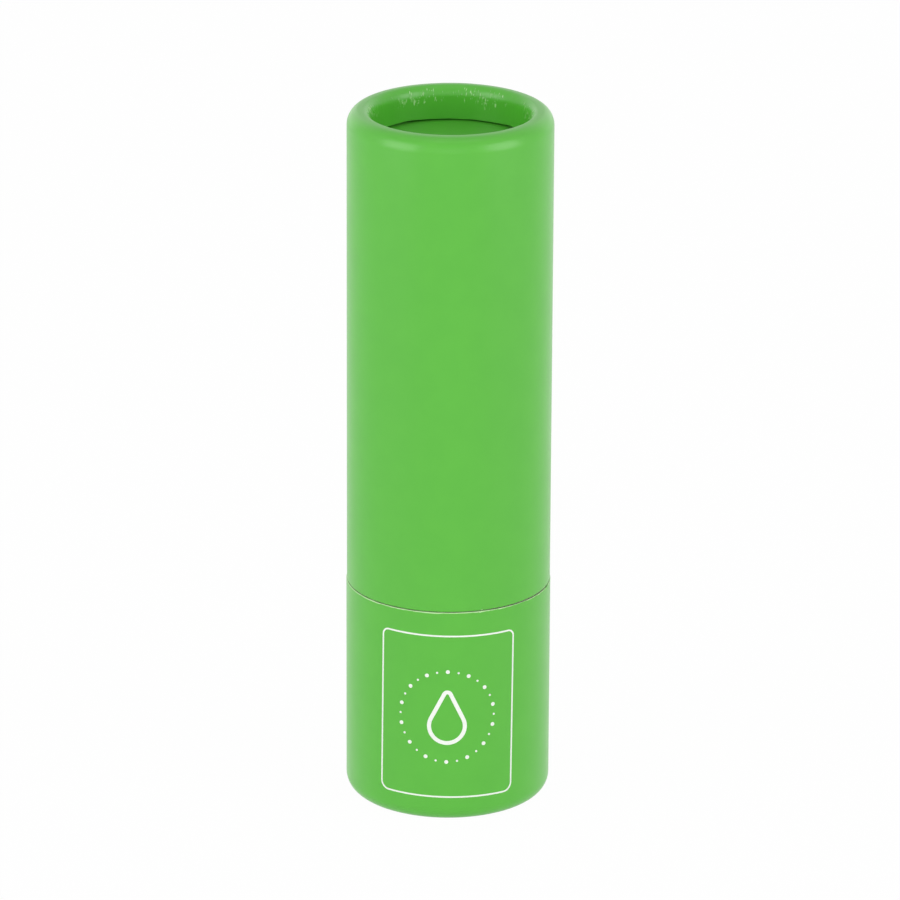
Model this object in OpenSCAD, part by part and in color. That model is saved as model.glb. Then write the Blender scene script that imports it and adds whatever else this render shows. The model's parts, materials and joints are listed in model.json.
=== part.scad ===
// Twist-up stick in a paper tube, closed and standing on its base.
// Millimetres. The origin is the centre of the ring that the base stands on, and +Z runs up the stick.
// The base turns a lead screw, and the neck keys the elevator, so twisting one on the other lifts the balm.

/* [Overall] */
// Height of the closed stick
overall_h = 69.5; // [60:0.5:86]
// Outside diameter of the base
base_d = 20; // [16.5:0.1:26]
// Height of the base up to its cut edge
base_h = 21.8; // [18:0.1:28]
// How far the cap's wall lies inside the base's wall, on the radius
cap_step = 0.05; // [0:0.01:0.06]
// Gap between the cut edges of the cap and the base
seam_gap = 0.2; // [0.1:0.05:0.6]

/* [Tube wall] */
// Thickness of the printed outer ply
wrap_t = 0.15; // [0.1:0.01:0.2]
// Thickness of the wound board
board_t = 0.85; // [0.6:0.05:0.95]
// Thickness of the greaseproof inner ply
liner_t = 0.15; // [0.1:0.01:0.2]

/* [Rolled ends] */
// Length of wall that is turned back inside, below the crest
hem_len = 3.4; // [2.8:0.1:4.5]
// Height of the roll's outer shoulder
shoulder_h = 1.5; // [1.2:0.05:2.4]
// Width of the roll's inner lip
lip_w = 0.45; // [0.35:0.05:0.6]
// Height of the roll's inner lip
lip_h = 0.46; // [0.35:0.01:0.6]
// Width of the flat crest between them
crest_w = 0.5; // [0.2:0.05:0.6]

/* [End discs] */
// Thickness of the board disc that closes each end
disc_t = 1; // [0.8:0.05:1.3]
// Thickness of the printed facing on each disc
facing_t = 0.12; // [0.08:0.01:0.2]
// Slack between a disc and the wall and roll around it
disc_fit = 0.02; // [0.01:0.01:0.05]

/* [Neck] */
// Height of the neck above the base's cut edge
neck_rise = 20; // [16:0.5:24]
// Clearance of the cap on the neck, on the radius
neck_fit = 0.04; // [0.02:0.01:0.04]
// Thickness of the neck's smooth outer ply
neck_ply_t = 0.12; // [0.08:0.01:0.2]
// Thickness of the neck's board
neck_board_t = 0.6; // [0.5:0.05:0.9]
// Slack for glue between a moulding and the paper round it
glue_gap = 0.04; // [0.02:0.01:0.06]
// Clearance under the neck's paper, over the drive wheel
neck_foot_gap = 0.4; // [0.3:0.05:1]

/* [Barrel] */
// Wall of the moulded barrel
barrel_t = 0.9; // [0.7:0.05:1.1]
// Thickness of the barrel's floor
floor_t = 1; // [0.8:0.1:1.4]
// Height of the lip that covers the paper's top edge
lip_t = 0.6; // [0.5:0.05:0.9]
// How far the lip stands back from the neck's outside
lip_set = 0.2; // [0.1:0.05:0.4]
// Height of the keying ribs inside the barrel, on the radius
key_h = 0.3; // [0.2:0.05:0.4]
// Width of the keying ribs
key_w = 0.8; // [0.6:0.1:1.2]
// Number of keying ribs
key_count = 4; // [2:1:6]
// Distance from the top of the ribs to the top of the barrel
key_end = 2.8; // [2:0.1:3.2]

/* [Drive screw] */
// Height of the wheel's skirt
skirt_h = 2.6; // [2.2:0.1:3.5]
// Wall of the skirt and thickness of the wheel's web
wheel_t = 1; // [0.8:0.1:1.3]
// Number of stiffening ribs under the web
wheel_ribs = 6; // [4:1:8]
// Wall of the hub under the journal
hub_t = 0.6; // [0.4:0.05:1]
// How far the journal in the barrel's floor stands out past the thread
journal_step = 0.08; // [0.06:0.01:0.2]
// Running clearance round the journal
journal_fit = 0.07; // [0.03:0.01:0.1]
// How far the snap bead overhangs the floor's hole, on the radius
snap_over = 0.17; // [0.1:0.01:0.25]
// Height of the snap bead
snap_h = 0.6; // [0.5:0.05:1]
// Play above and below the barrel's floor
end_play = 0.1; // [0.05:0.01:0.2]
// Rise of the thread in one turn
lead = 5; // [4:0.1:6]
// Radius over the thread's crest
crest_r = 2.3; // [2:0.05:2.8]
// Depth of the thread
thread_t = 0.7; // [0.5:0.05:0.8]
// Length of the plain tip above the thread
tip_h = 0.7; // [0.5:0.1:1]

/* [Elevator and balm] */
// Radial clearance of the elevator's thread on the screw
thread_fit = 0.18; // [0.15:0.01:0.22]
// Wall round the elevator's thread
boss_t = 1.12; // [0.9:0.01:1.4]
// Height of the collar that keeps the balm off the thread
collar_h = 1; // [0.6:0.1:1.4]
// Thickness of the elevator's platform
platform_t = 1; // [0.8:0.1:1.2]
// Height of the cup wall above the platform
cup_h = 2; // [1.6:0.1:2.6]
// Thickness of the cup wall
cup_t = 0.6; // [0.5:0.05:0.8]
// Height of the bead inside the cup's edge, which grips the balm
grip_h = 0.2; // [0.1:0.05:0.3]
// Clearance of the elevator and the balm in the barrel, on the radius
slide_fit = 0.1; // [0.08:0.01:0.15]
// Clearance of the elevator and the balm round the barrel's ribs
key_fit = 0.15; // [0.1:0.01:0.2]
// Least length of thread that stays in the elevator at full height
engaged = 3.5; // [2.5:0.1:4.5]
// How far the balm lies below the barrel's top when it is wound down
balm_inset = 0.6; // [0.4:0.1:1.5]
// Height of the balm's domed top
dome_h = 1.4; // [0.8:0.1:2]
// Width of the softened shoulder round the dome
shoulder_soft = 1.2; // [0.6:0.1:1.6]
// Clearance of the balm round the spindle
hollow_fit = 0.25; // [0.15:0.05:0.4]
// Clearance of the balm over the spindle's tip
hollow_over = 0.4; // [0.2:0.1:0.8]
// Least depth of the raised cup below the barrel's top
cup_keep = 1; // [0.5:0.1:2]
// Space over the raised balm, under the closed cap
head_gap = 0.76; // [0.5:0.01:2]

/* [Hidden] */
$fn = 96;
print_green = [0.42, 0.765, 0.325];
paper_white = [0.93, 0.92, 0.88];
liner_grey = [0.85, 0.85, 0.83];
moulding_white = [0.95, 0.95, 0.93];
balm_ivory = [0.96, 0.9, 0.74];
// Overlap of joined forms, and how far a cut runs past a face
slack = 0.01;
over = 1;
// Points on a rounded stretch of an outline
turn_steps = 8;

// The wall has three plies, and is twice as thick where its end is rolled in.
wall_t = wrap_t + board_t + liner_t;
roll_t = 2 * wall_t;
shoulder_w = roll_t - lip_w - crest_w;

base_r = base_d / 2;
cap_r = base_r - cap_step;
cap_len = overall_h - base_h - seam_gap;
base_bore_r = base_r - wall_t;
cap_bore_r = cap_r - wall_t;

// A disc lies just past the rolled-in edge, measured from the roll's crest.
facing_at = hem_len + disc_fit;
disc_at = facing_at + facing_t;
disc_end = disc_at + disc_t;

// The wheel sits on the base's disc, and the barrel's floor turns on the wheel.
wheel_top = disc_end + skirt_h;
journal_r = crest_r + journal_step;
hub_r = journal_r + hub_t;
floor_at = wheel_top + end_play;
floor_top = floor_at + floor_t;
floor_hole_r = journal_r + journal_fit;
snap_at = floor_top + end_play;
thread_at = snap_at + snap_h;

// The neck fits the cap, and the barrel fits the neck.
neck_r = cap_bore_r - neck_fit;
neck_board_r = neck_r - neck_ply_t;
neck_top = base_h + neck_rise;
sleeve_at = wheel_top + neck_foot_gap;
sleeve_top = neck_top - lip_t;
barrel_r = neck_board_r - neck_board_t - glue_gap;
barrel_bore_r = barrel_r - barrel_t;
key_top = neck_top - key_end;

// The elevator starts just over the snap bead, with one turn of thread in its boss.
slider_r = barrel_bore_r - slide_fit;
boss_at = thread_at + 2 * end_play;
boss_top = boss_at + lead;
boss_r = crest_r + thread_fit + boss_t;
platform_top = boss_top - collar_h;
cup_top = platform_top + cup_h;
cup_r = slider_r - cup_t;
balm_top = neck_top - balm_inset;

// Travel ends under the cap's disc, or with the cup still in the barrel.
cap_ceiling = overall_h - disc_end;
travel = min(cap_ceiling - head_gap - balm_top, neck_top - cup_keep - cup_top);
thread_top = boss_at + travel + engaged;
tip_top = thread_top + tip_h;
root_r = crest_r - thread_t;

// Sixteen points round the screw: a crest, two flanks and a root.
thread_points = 16;
crest_points = 3;
flank_points = 3;

// Points of an elliptical stretch about centre c, between two angles.
function turn(c, ar, az, from, to) =
    [for (i = [0:turn_steps]) let (a = from + (to - from) * i / turn_steps)
        [c[0] + ar * cos(a), c[1] + az * sin(a)]];

// The rolled end's outline from the tube's cut edge, over the crest, to the turned-in edge.
// The outline lies d inside the outer face of a tube of radius r and length len.
function roll_face(r, len, d) = concat(
    [[r - d, len]],
    turn([r - shoulder_w, shoulder_h], shoulder_w - d, shoulder_h - d, 0, -90),
    turn([r - roll_t + lip_w, lip_h], lip_w - d, lip_h - d, -90, -180),
    [[r - roll_t + d, hem_len]]);

// The fold's inner face, from the turned-in edge, round the fold, to the tube's cut edge.
function fold_face(r, len) = concat(
    [[r - wall_t - liner_t, hem_len]],
    turn([r - wall_t, wall_t], liner_t, liner_t, -180, 0),
    [[r - wall_t + liner_t, len]]);

function reversed(list) = [for (i = [len(list) - 1:-1:0]) list[i]];

// How deep the thread's cross-section lies under its crest at point i.
function thread_dip(i) =
    i < crest_points ? 0
    : i < crest_points + flank_points ? (i - crest_points + 1) / (flank_points + 1)
    : i > thread_points - 1 - flank_points ? (thread_points - i) / (flank_points + 1)
    : 1;

module rolled_wrap(r, len) {
    color(print_green)
        rotate_extrude()
            polygon(concat(roll_face(r, len, 0), reversed(roll_face(r, len, wrap_t))));
}

module rolled_board(r, len) {
    color(paper_white)
        rotate_extrude()
            polygon(concat(roll_face(r, len, wrap_t), fold_face(r, len)));
}

// The inner ply lines the tube, and is doubled inside the fold.
module rolled_liner(r, len) {
    color(liner_grey)
        rotate_extrude()
            polygon(concat(reversed(fold_face(r, len)), [[r - wall_t, hem_len], [r - wall_t, len]]));
}

module end_disc(bore_r) {
    edge = disc_t / 5;
    r = bore_r - disc_fit;
    color(paper_white)
        translate([0, 0, disc_at])
            rotate_extrude()
                polygon([[0, 0], [r, 0], [r, disc_t - edge], [r - edge, disc_t], [0, disc_t]]);
}

module end_facing(bore_r) {
    color(print_green)
        translate([0, 0, facing_at])
            cylinder(h = facing_t, r = bore_r - disc_fit);
}

// Everything of the cap is drawn like the base and turned over.
module as_cap() {
    translate([0, 0, overall_h])
        mirror([0, 0, 1])
            children();
}

// A stretch of right-hand thread between two heights, in the same phase wherever it starts.
module screw_thread(from, to, grow) {
    translate([0, 0, from])
        rotate([0, 0, 360 * from / lead])
            linear_extrude(height = to - from, twist = -360 * (to - from) / lead,
                slices = ceil(thread_points * (to - from) / lead), segments = thread_points)
                polygon([for (i = [0:thread_points - 1])
                    let (a = 360 * i / thread_points, r = crest_r + grow - thread_t * thread_dip(i))
                        [r * cos(a), r * sin(a)]]);
}

module base_board() {
    rolled_board(base_r, base_h);
}

module base_wrap() {
    rolled_wrap(base_r, base_h);
}

module base_liner() {
    rolled_liner(base_r, base_h);
}

module base_disc() {
    end_disc(base_bore_r);
}

module base_disc_facing() {
    end_facing(base_bore_r);
}

// The wheel is glued in the base: a web with a skirt, a hub and ribs under it.
module drive_wheel() {
    wheel_r = base_bore_r - glue_gap;
    groove = 0.25;
    groove_at = disc_end + skirt_h / 2;
    rotate_extrude()
        polygon([[0, wheel_top - wheel_t], [wheel_r - wheel_t, wheel_top - wheel_t],
            [wheel_r - wheel_t, disc_end], [wheel_r, disc_end],
            [wheel_r, groove_at - groove], [wheel_r - groove, groove_at], [wheel_r, groove_at + groove],
            [wheel_r, wheel_top - groove], [wheel_r - groove, wheel_top], [0, wheel_top]]);
    translate([0, 0, disc_end + groove])
        cylinder(h = skirt_h - groove - slack, r = hub_r);
    for (i = [0:wheel_ribs - 1])
        rotate([0, 0, 360 * i / wheel_ribs])
            translate([0, -wheel_t / 2, disc_end + 2 * groove])
                cube([wheel_r - wheel_t / 2, wheel_t, skirt_h - 2 * groove - wheel_t / 2]);
}

// Journal, snap bead with a lead-in cone, threaded spindle and plain tip.
module drive_screw() {
    snap_r = floor_hole_r + snap_over;
    tip_r = root_r - thread_fit;
    color(moulding_white) {
        drive_wheel();
        rotate_extrude()
            polygon([[0, wheel_top - wheel_t / 2], [journal_r, wheel_top - wheel_t / 2],
                [journal_r, snap_at], [snap_r, snap_at], [snap_r, snap_at + snap_h / 3],
                [floor_hole_r, thread_at], [0, thread_at]]);
        screw_thread(thread_at - slack, thread_top, 0);
        rotate_extrude()
            polygon([[0, thread_at - snap_h / 2], [tip_r, thread_at - snap_h / 2],
                [tip_r, tip_top - tip_h / 2], [tip_r - tip_h / 2, tip_top], [0, tip_top]]);
    }
}

// Tube with a floor, a lip over the paper's edge, and ribs that keep the elevator from turning.
module barrel() {
    lip_r = neck_r - lip_set;
    soft = lip_t / 3;
    color(moulding_white) {
        rotate_extrude()
            polygon([[floor_hole_r, floor_at], [barrel_r - soft, floor_at], [barrel_r, floor_at + soft],
                [barrel_r, sleeve_top], [lip_r, sleeve_top], [lip_r, neck_top - soft],
                [lip_r - soft, neck_top], [barrel_bore_r + soft, neck_top],
                [barrel_bore_r, neck_top - soft], [barrel_bore_r, floor_top],
                [floor_hole_r, floor_top]]);
        for (i = [0:key_count - 1])
            rotate([0, 0, 360 * i / key_count])
                translate([barrel_bore_r - key_h, -key_w / 2, floor_top - slack])
                    cube([key_h + barrel_t / 2, key_w, key_top - floor_top]);
    }
}

module neck_board() {
    color(paper_white)
        translate([0, 0, sleeve_at])
            difference() {
                cylinder(h = sleeve_top - sleeve_at, r = neck_board_r);
                translate([0, 0, -over])
                    cylinder(h = sleeve_top - sleeve_at + 2 * over, r = barrel_r + glue_gap);
            }
}

module neck_ply() {
    color(paper_white)
        translate([0, 0, sleeve_at])
            difference() {
                cylinder(h = sleeve_top - sleeve_at, r = neck_r);
                translate([0, 0, -over])
                    cylinder(h = sleeve_top - sleeve_at + 2 * over, r = neck_board_r);
            }
}

// Notches for the barrel's ribs, between two heights.
module key_notches(from, to) {
    depth = key_h + key_fit - slide_fit;
    for (i = [0:key_count - 1])
        rotate([0, 0, 360 * i / key_count])
            translate([slider_r - depth, -key_w / 2 - key_fit, from])
                cube([depth + over, key_w + 2 * key_fit, to - from]);
}

// Threaded boss through a keyed platform, with a cup that holds the foot of the balm.
module elevator() {
    platform_at = platform_top - platform_t;
    color(moulding_white)
        difference() {
            union() {
                translate([0, 0, boss_at])
                    cylinder(h = lead, r = boss_r);
                rotate_extrude()
                    polygon([[0, platform_at], [slider_r, platform_at], [slider_r, cup_top],
                        [cup_r, cup_top], [cup_r - grip_h, cup_top - grip_h],
                        [cup_r, cup_top - 2 * grip_h], [cup_r, platform_top], [0, platform_top]]);
                for (i = [0:key_count - 1])
                    rotate([0, 0, 360 * (i + 0.5) / key_count])
                        translate([0, -platform_t / 3, platform_at - platform_t])
                            cube([slider_r - cup_t, platform_t * 2 / 3, platform_t * 1.5]);
            }
            screw_thread(boss_at - over, boss_top + over, thread_fit);
            key_notches(platform_at - platform_t - over, cup_top + over);
        }
}

// Cast in the barrel: a foot in the cup, grooves along the ribs and a hollow round the spindle.
module balm() {
    hollow_r = crest_r + hollow_fit;
    hollow_top = tip_top + hollow_over;
    dome_r = slider_r - shoulder_soft;
    dome_rise = dome_h - shoulder_soft / 2;
    color(balm_ivory)
        difference() {
            rotate_extrude()
                polygon(concat(
                    [[boss_r, platform_top], [cup_r, platform_top], [cup_r, cup_top - 2 * grip_h],
                        [cup_r - grip_h, cup_top - grip_h], [cup_r, cup_top], [slider_r, cup_top]],
                    turn([dome_r, balm_top - dome_h], shoulder_soft, shoulder_soft / 2, 0, 60),
                    [for (i = [turn_steps:-1:0]) let (x = i / turn_steps)
                        [dome_r * x, balm_top - dome_rise * x * x]],
                    [[0, hollow_top], [hollow_r, hollow_top], [hollow_r, boss_top], [boss_r, boss_top]]));
            key_notches(cup_top - over, key_top + key_fit);
        }
}

module cap_board() {
    as_cap()
        rolled_board(cap_r, cap_len);
}

module cap_wrap() {
    as_cap()
        rolled_wrap(cap_r, cap_len);
}

module cap_liner() {
    as_cap()
        rolled_liner(cap_r, cap_len);
}

module cap_disc() {
    as_cap()
        end_disc(cap_bore_r);
}

module cap_disc_facing() {
    as_cap()
        end_facing(cap_bore_r);
}

base_board();
base_wrap();
base_liner();
base_disc();
base_disc_facing();
drive_screw();
barrel();
neck_board();
neck_ply();
elevator();
balm();
cap_board();
cap_wrap();
cap_liner();
cap_disc();
cap_disc_facing();
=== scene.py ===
# %% [markdown]
# # A twist-up stick in a rolled paper tube
# The object is a small paper tube in two parts: a short base that turns, and a long cap that pulls off a
# white neck. The CAD frame already holds every piece at its real size. This lesson gives each piece its
# looks: the satin film on the print, the pleats where the paper is rolled in, the bare cut edges, the waxy
# balm. Everything is worked out from a few sizes with numpy, so a change of size carries through.

import json

import bpy
import numpy as np
from mathutils import Matrix, Vector

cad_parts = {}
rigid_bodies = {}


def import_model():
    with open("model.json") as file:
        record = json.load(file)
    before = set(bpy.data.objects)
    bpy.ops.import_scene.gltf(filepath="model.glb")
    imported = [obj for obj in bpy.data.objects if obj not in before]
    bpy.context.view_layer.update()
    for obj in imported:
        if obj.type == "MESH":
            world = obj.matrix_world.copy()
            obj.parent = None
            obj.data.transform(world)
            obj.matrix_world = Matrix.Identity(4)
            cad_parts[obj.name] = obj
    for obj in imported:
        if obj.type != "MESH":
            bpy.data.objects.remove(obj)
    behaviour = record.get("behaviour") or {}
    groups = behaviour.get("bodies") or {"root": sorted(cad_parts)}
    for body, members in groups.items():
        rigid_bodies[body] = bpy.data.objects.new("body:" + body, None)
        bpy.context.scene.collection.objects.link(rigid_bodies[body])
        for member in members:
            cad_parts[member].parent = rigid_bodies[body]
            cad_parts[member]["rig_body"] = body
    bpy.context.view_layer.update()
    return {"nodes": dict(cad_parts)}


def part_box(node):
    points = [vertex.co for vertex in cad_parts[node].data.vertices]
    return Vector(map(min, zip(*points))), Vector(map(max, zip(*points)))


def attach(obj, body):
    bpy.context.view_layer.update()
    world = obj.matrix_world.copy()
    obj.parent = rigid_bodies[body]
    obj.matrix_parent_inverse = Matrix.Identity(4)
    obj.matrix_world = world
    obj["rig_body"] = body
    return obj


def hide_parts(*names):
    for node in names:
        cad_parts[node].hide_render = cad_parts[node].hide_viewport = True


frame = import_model()

# %% [markdown]
# ## Sizes
# Blender works in metres and a maker of paper tubes in millimetres, so one factor turns one into the other. A
# round node's box gives its radius and its two levels. The plies are so thin that their thickness is the
# difference between two boxes, which keeps this file true to the frame. Only what no box shows is written
# here.

# %% Sizes read off the frame
MM = 0.001


def reach(node):
    """A round node's radius, lowest level and highest level: the +X, -Z and +Z faces of its box."""
    low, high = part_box(node)
    return high.x, low.z, high.z


base_r, base_foot, base_top = reach("base_wrap")
cap_r, cap_foot, cap_top = reach("cap_wrap")
neck_r, neck_foot, sleeve_top = reach("neck_ply")
neck_board_r = reach("neck_board")[0]
floor_at, neck_top = reach("barrel")[1:]
balm_r, balm_foot, balm_top = reach("balm")
wrap_t = base_r - reach("base_board")[0]
board_t = reach("base_board")[0] - reach("base_liner")[0]
DISC_FIT = 0.02 * MM
wall_t = base_r - reach("base_disc")[0] - DISC_FIT
hem = reach("base_disc_facing")[1] - base_foot - DISC_FIT
liner_t = wall_t - wrap_t - board_t
roll_t = 2 * wall_t
print("plies in mm:", [round(t / MM, 3) for t in (wrap_t, board_t, liner_t, wall_t)])

# %% [markdown]
# The roll's own section shows at the top of the photograph. From outside to inside it is a rounded shoulder,
# a narrow crest and a lip that turns down into the opening, together as wide as two walls. No box shows how
# that width is shared, so the lip and the crest are written here and the shoulder takes the rest.

# %% Sizes of the rolled end
SHOULDER_H = 1.5 * MM
LIP_W = 0.8 * MM
LIP_H = 1.15 * MM
CREST_W = 0.2 * MM
shoulder_w = roll_t - LIP_W - CREST_W
print("the roll is", round(roll_t / MM, 2), "mm wide")

# %% [markdown]
# ## Camera
# The photograph was taken a little from above through a long lens, which keeps the tube's sides almost
# parallel. A camera can be aimed with a Track To constraint, but one that was fitted to edges has a small
# roll too. Its matrix is therefore built from three directions: right, up and backwards.

# %% Camera
CAMERA_AT = Vector((0.1, -599.0, 251.8)) * MM
CAMERA_PITCH = np.radians(19.9)
CAMERA_ROLL = np.radians(0.275)
CAMERA_LENS = 262.4

scene = bpy.context.scene
lens = bpy.data.cameras.new("camera")
lens.lens = CAMERA_LENS
lens.sensor_width = 36.0
lens.clip_start = 0.01
lens.clip_end = 20.0
camera = bpy.data.objects.new("camera", lens)
scene.collection.objects.link(camera)
forward = Vector((0.0, np.cos(CAMERA_PITCH), -np.sin(CAMERA_PITCH)))
level = Vector((1.0, 0.0, 0.0))
above = level.cross(forward)
right = np.cos(CAMERA_ROLL) * level + np.sin(CAMERA_ROLL) * above
upright = np.cos(CAMERA_ROLL) * above - np.sin(CAMERA_ROLL) * level
turned = Matrix((right, upright, -forward)).transposed().to_4x4()
camera.matrix_world = Matrix.Translation(CAMERA_AT) @ turned
scene.camera = camera
print("camera lens in mm:", lens.lens)

# %% [markdown]
# ## Shader sums as Python
# A material's pattern is arithmetic on sockets. Wired by hand it takes a node and two links for each sign, so
# a small class wraps a socket and turns +, -, * and / into Math nodes. The reflected forms let a plain number
# stand first, as in 1 - mask. Any node that isn't arithmetic comes from the one method called node.

# %% A socket that can be added and multiplied
class Wire:
    """One socket of a node tree. Arithmetic on it adds Math nodes; node() adds a node of any other type."""

    def __init__(self, tree, socket=None):
        self.tree = tree
        self.socket = socket

    def node(self, kind, settings=None, inputs=None, output=0):
        """Adds a node: its settings first, then each socket's value or link; gives one of its outputs."""
        made = self.tree.nodes.new(kind)
        for name, value in (settings or {}).items():
            setattr(made, name, value)
        for key, value in (inputs or {}).items():
            if isinstance(value, Wire):
                self.tree.links.new(value.socket, made.inputs[key])
            else:
                made.inputs[key].default_value = value
        return Wire(self.tree, made.outputs[output])

    def math(self, operation, first, second):
        return self.node("ShaderNodeMath", {"operation": operation}, {0: first, 1: second})

    def __add__(self, other):
        return self.math("ADD", self, other)

    def __radd__(self, other):
        return self.math("ADD", other, self)

    def __sub__(self, other):
        return self.math("SUBTRACT", self, other)

    def __rsub__(self, other):
        return self.math("SUBTRACT", other, self)

    def __mul__(self, other):
        return self.math("MULTIPLY", self, other)

    def __rmul__(self, other):
        return self.math("MULTIPLY", other, self)

    def __truediv__(self, other):
        return self.math("DIVIDE", self, other)

    def larger(self, other):
        return self.math("MAXIMUM", self, other)

    def between(self, low, high):
        """0 below low, 1 above high, and a smooth step from one to the other."""
        smooth = {"interpolation_type": "SMOOTHSTEP"}
        return self.node("ShaderNodeMapRange", smooth, {0: self, 1: low, 2: high})


# %% [markdown]
# A few patterns serve every material: noise at a size in millimetres, the same noise drawn out along one axis
# as paper fibres are, and a painted attribute of the mesh. Colours are mixed by a Mix node, because a Math
# node would turn them grey. A colour is written as the eye reads it, in sRGB, and is made linear here.

# %% Patterns and colours
def linear(red, green, blue):
    """A colour's sRGB numbers from 0 to 255, as the linear light that shaders work in."""
    share = np.array([red, green, blue]) / 255
    light = np.where(share <= 0.04045, share / 12.92, ((share + 0.055) / 1.055) ** 2.4)
    return (*light.tolist(), 1.0)


def speckle(wire, size_mm, detail=2.0, stretch=(1, 1, 1)):
    """Noise on Object coordinates, about size_mm across, drawn out along an axis where stretch is over 1."""
    spot = wire.node("ShaderNodeTexCoord", output="Object")
    squeeze = {0: spot, 3: tuple(1 / s for s in stretch)}
    spot = wire.node("ShaderNodeMapping", {"vector_type": "POINT"}, squeeze)
    inputs = {"Vector": spot, "Scale": 1 / (size_mm * MM), "Detail": detail}
    return wire.node("ShaderNodeTexNoise", None, inputs)


def painted(wire, name):
    """The number that the mesh carries at each vertex under this name."""
    return wire.node("ShaderNodeAttribute", {"attribute_name": name}, output="Fac")


def blended(wire, mask, colour, other):
    """The first colour where the mask is 0, and the other where it is 1."""
    return wire.node("ShaderNodeMix", {"data_type": "RGBA"}, {0: mask, 6: colour, 7: other}, output=2)


def bumped(wire, height, size_mm):
    """A normal tilted by a height from 0 to 1 that stands for size_mm."""
    return wire.node("ShaderNodeBump", None, {"Height": height, "Distance": size_mm * MM, "Strength": 1.0})


def new_material(name, **constants):
    """A material with its shader's plain sockets set; gives the material, a wire and the shader."""
    material = bpy.data.materials.new(name)
    material.use_nodes = True
    shader = material.node_tree.nodes["Principled BSDF"]
    for socket, value in constants.items():
        shader.inputs[socket.replace("_", " ")].default_value = value
    return material, Wire(material.node_tree), shader


def feed(shader, **patterns):
    """Links patterns to the shader's sockets, such as Base_Color or Normal."""
    for socket, wire in patterns.items():
        wire.tree.links.new(wire.socket, shader.inputs[socket.replace("_", " ")])


# %% [markdown]
# ## Studio
# A product shot on white has a white world and a white floor. One way is to make the world strong enough to
# clip, but that would light the object too much. Here rays from the camera and from glossy surfaces get pure
# white, while the light that reaches the object is about half as strong, because its lamps bring the rest.

# %% World and floor
WORLD_LIGHT = 0.47
FLOOR_HALF = 1.6


def seen_white(wire):
    """1 for rays that show the background as a picture: from the camera, a gloss or a clear body."""
    path = wire.node("ShaderNodeLightPath").socket.node
    kinds = ("Is Camera Ray", "Is Glossy Ray", "Is Transmission Ray")
    camera_ray, glossy_ray, clear_ray = (Wire(wire.tree, path.outputs[kind]) for kind in kinds)
    return camera_ray.larger(glossy_ray).larger(clear_ray)


world = bpy.data.worlds.new("white studio")
world.use_nodes = True
scene.world = world
sky = world.node_tree.nodes["Background"]
sky.inputs["Color"].default_value = (1, 1, 1, 1)
feed(sky, Strength=WORLD_LIGHT + (1 - WORLD_LIGHT) * seen_white(Wire(world.node_tree)))

floor_mesh = bpy.data.meshes.new("floor")
corners = FLOOR_HALF * np.array([[-1, -1, 0], [1, -1, 0], [1, 1, 0], [-1, 1, 0]])
floor_mesh.from_pydata(corners.tolist(), [], [(0, 1, 2, 3)])
floor = bpy.data.objects.new("floor", floor_mesh)
scene.collection.objects.link(floor)
print("floor is", 2 * FLOOR_HALF, "m across")

# %% [markdown]
# A floor that only glows takes no shadow, and one that is only painted turns grey. So the floor's surface is
# a mix: nearly all glow for rays that show it as a picture, with a little paint left to carry a faint shadow,
# and all paint for the rays that bounce light up to the object.

# %% Floor that is white and still takes a faint shadow
FLOOR_WHITE = 0.95
FLOOR_GLOW = 0.98

floor_paint, wire, shader = new_material("floor", Roughness=0.9, Base_Color=(FLOOR_WHITE,) * 3 + (1,))
shader.inputs["Specular IOR Level"].default_value = 0.0
glow = wire.node("ShaderNodeEmission", None, {"Color": (1, 1, 1, 1), "Strength": 1.0})
plain = Wire(wire.tree, shader.outputs[0])
mixed = wire.node("ShaderNodeMixShader", None, {0: FLOOR_GLOW * seen_white(wire), 1: plain, 2: glow})
wire.tree.links.new(mixed.socket, wire.tree.nodes["Material Output"].inputs["Surface"])
floor_mesh.materials.append(floor_paint)

# %% [markdown]
# Two large soft boxes low at the sides give the satin wall its pale glow along both edges, and a weak one in
# front fills the middle. Two faint boxes behind outline the roll, and two small lamps overhead touch its
# crest. Area lamps suit this, since a soft highlight is the reflection of a lamp with some size.

# %% Lamps
# Each lamp: angle round from the front, elevation, distance, width, height, watts.
LAMPS = {
    "left_box": (-58, 10, 0.6, 0.40, 0.60, 2.15),
    "right_box": (60, 10, 0.6, 0.40, 0.60, 2.05),
    "front_box": (0, 8, 0.8, 0.50, 0.50, 0.5),
    "left_rear_box": (-150, 10, 0.6, 0.40, 0.60, 0.3),
    "right_rear_box": (148, 10, 0.6, 0.40, 0.60, 0.3),
    "left_spot": (-40, 78, 0.55, 0.05, 0.05, 0.045),
    "right_spot": (60, 75, 0.55, 0.05, 0.05, 0.045),
}
aim = Vector((0, 0, (base_foot + cap_top) / 2))
for name, (around, lift, away, wide, tall, watts) in LAMPS.items():
    light = bpy.data.lights.new(name, "AREA")
    light.shape = "RECTANGLE"
    light.size = wide
    light.size_y = tall
    light.energy = watts
    lamp = bpy.data.objects.new(name, light)
    around, lift = np.radians(around), np.radians(lift)
    out = Vector((np.sin(around) * np.cos(lift), -np.cos(around) * np.cos(lift), np.sin(lift)))
    lamp.rotation_euler = out.to_track_quat("Z", "Y").to_euler()
    lamp.location = aim + away * out
    scene.collection.objects.link(lamp)
scene.view_settings.view_transform = "Standard"
print("lamps:", ", ".join(LAMPS))

# %% [markdown]
# ## A surface of revolution as a grid
# Nearly every piece here is turned round one axis. A Screw modifier could spin a line, but the pleats, seams
# and ribs need the radius to change with the angle as well. So a piece is a grid: rows follow the outline,
# columns go round the axis, and each point is (r sin a, -r cos a, z), with angle 0 at the front and the
# grid's seam behind. Patterns on it read Object coordinates, or numbers painted on its vertices, so it needs
# no UV map.

# %% Grid to mesh
SHARP_FROM = np.radians(38)


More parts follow.
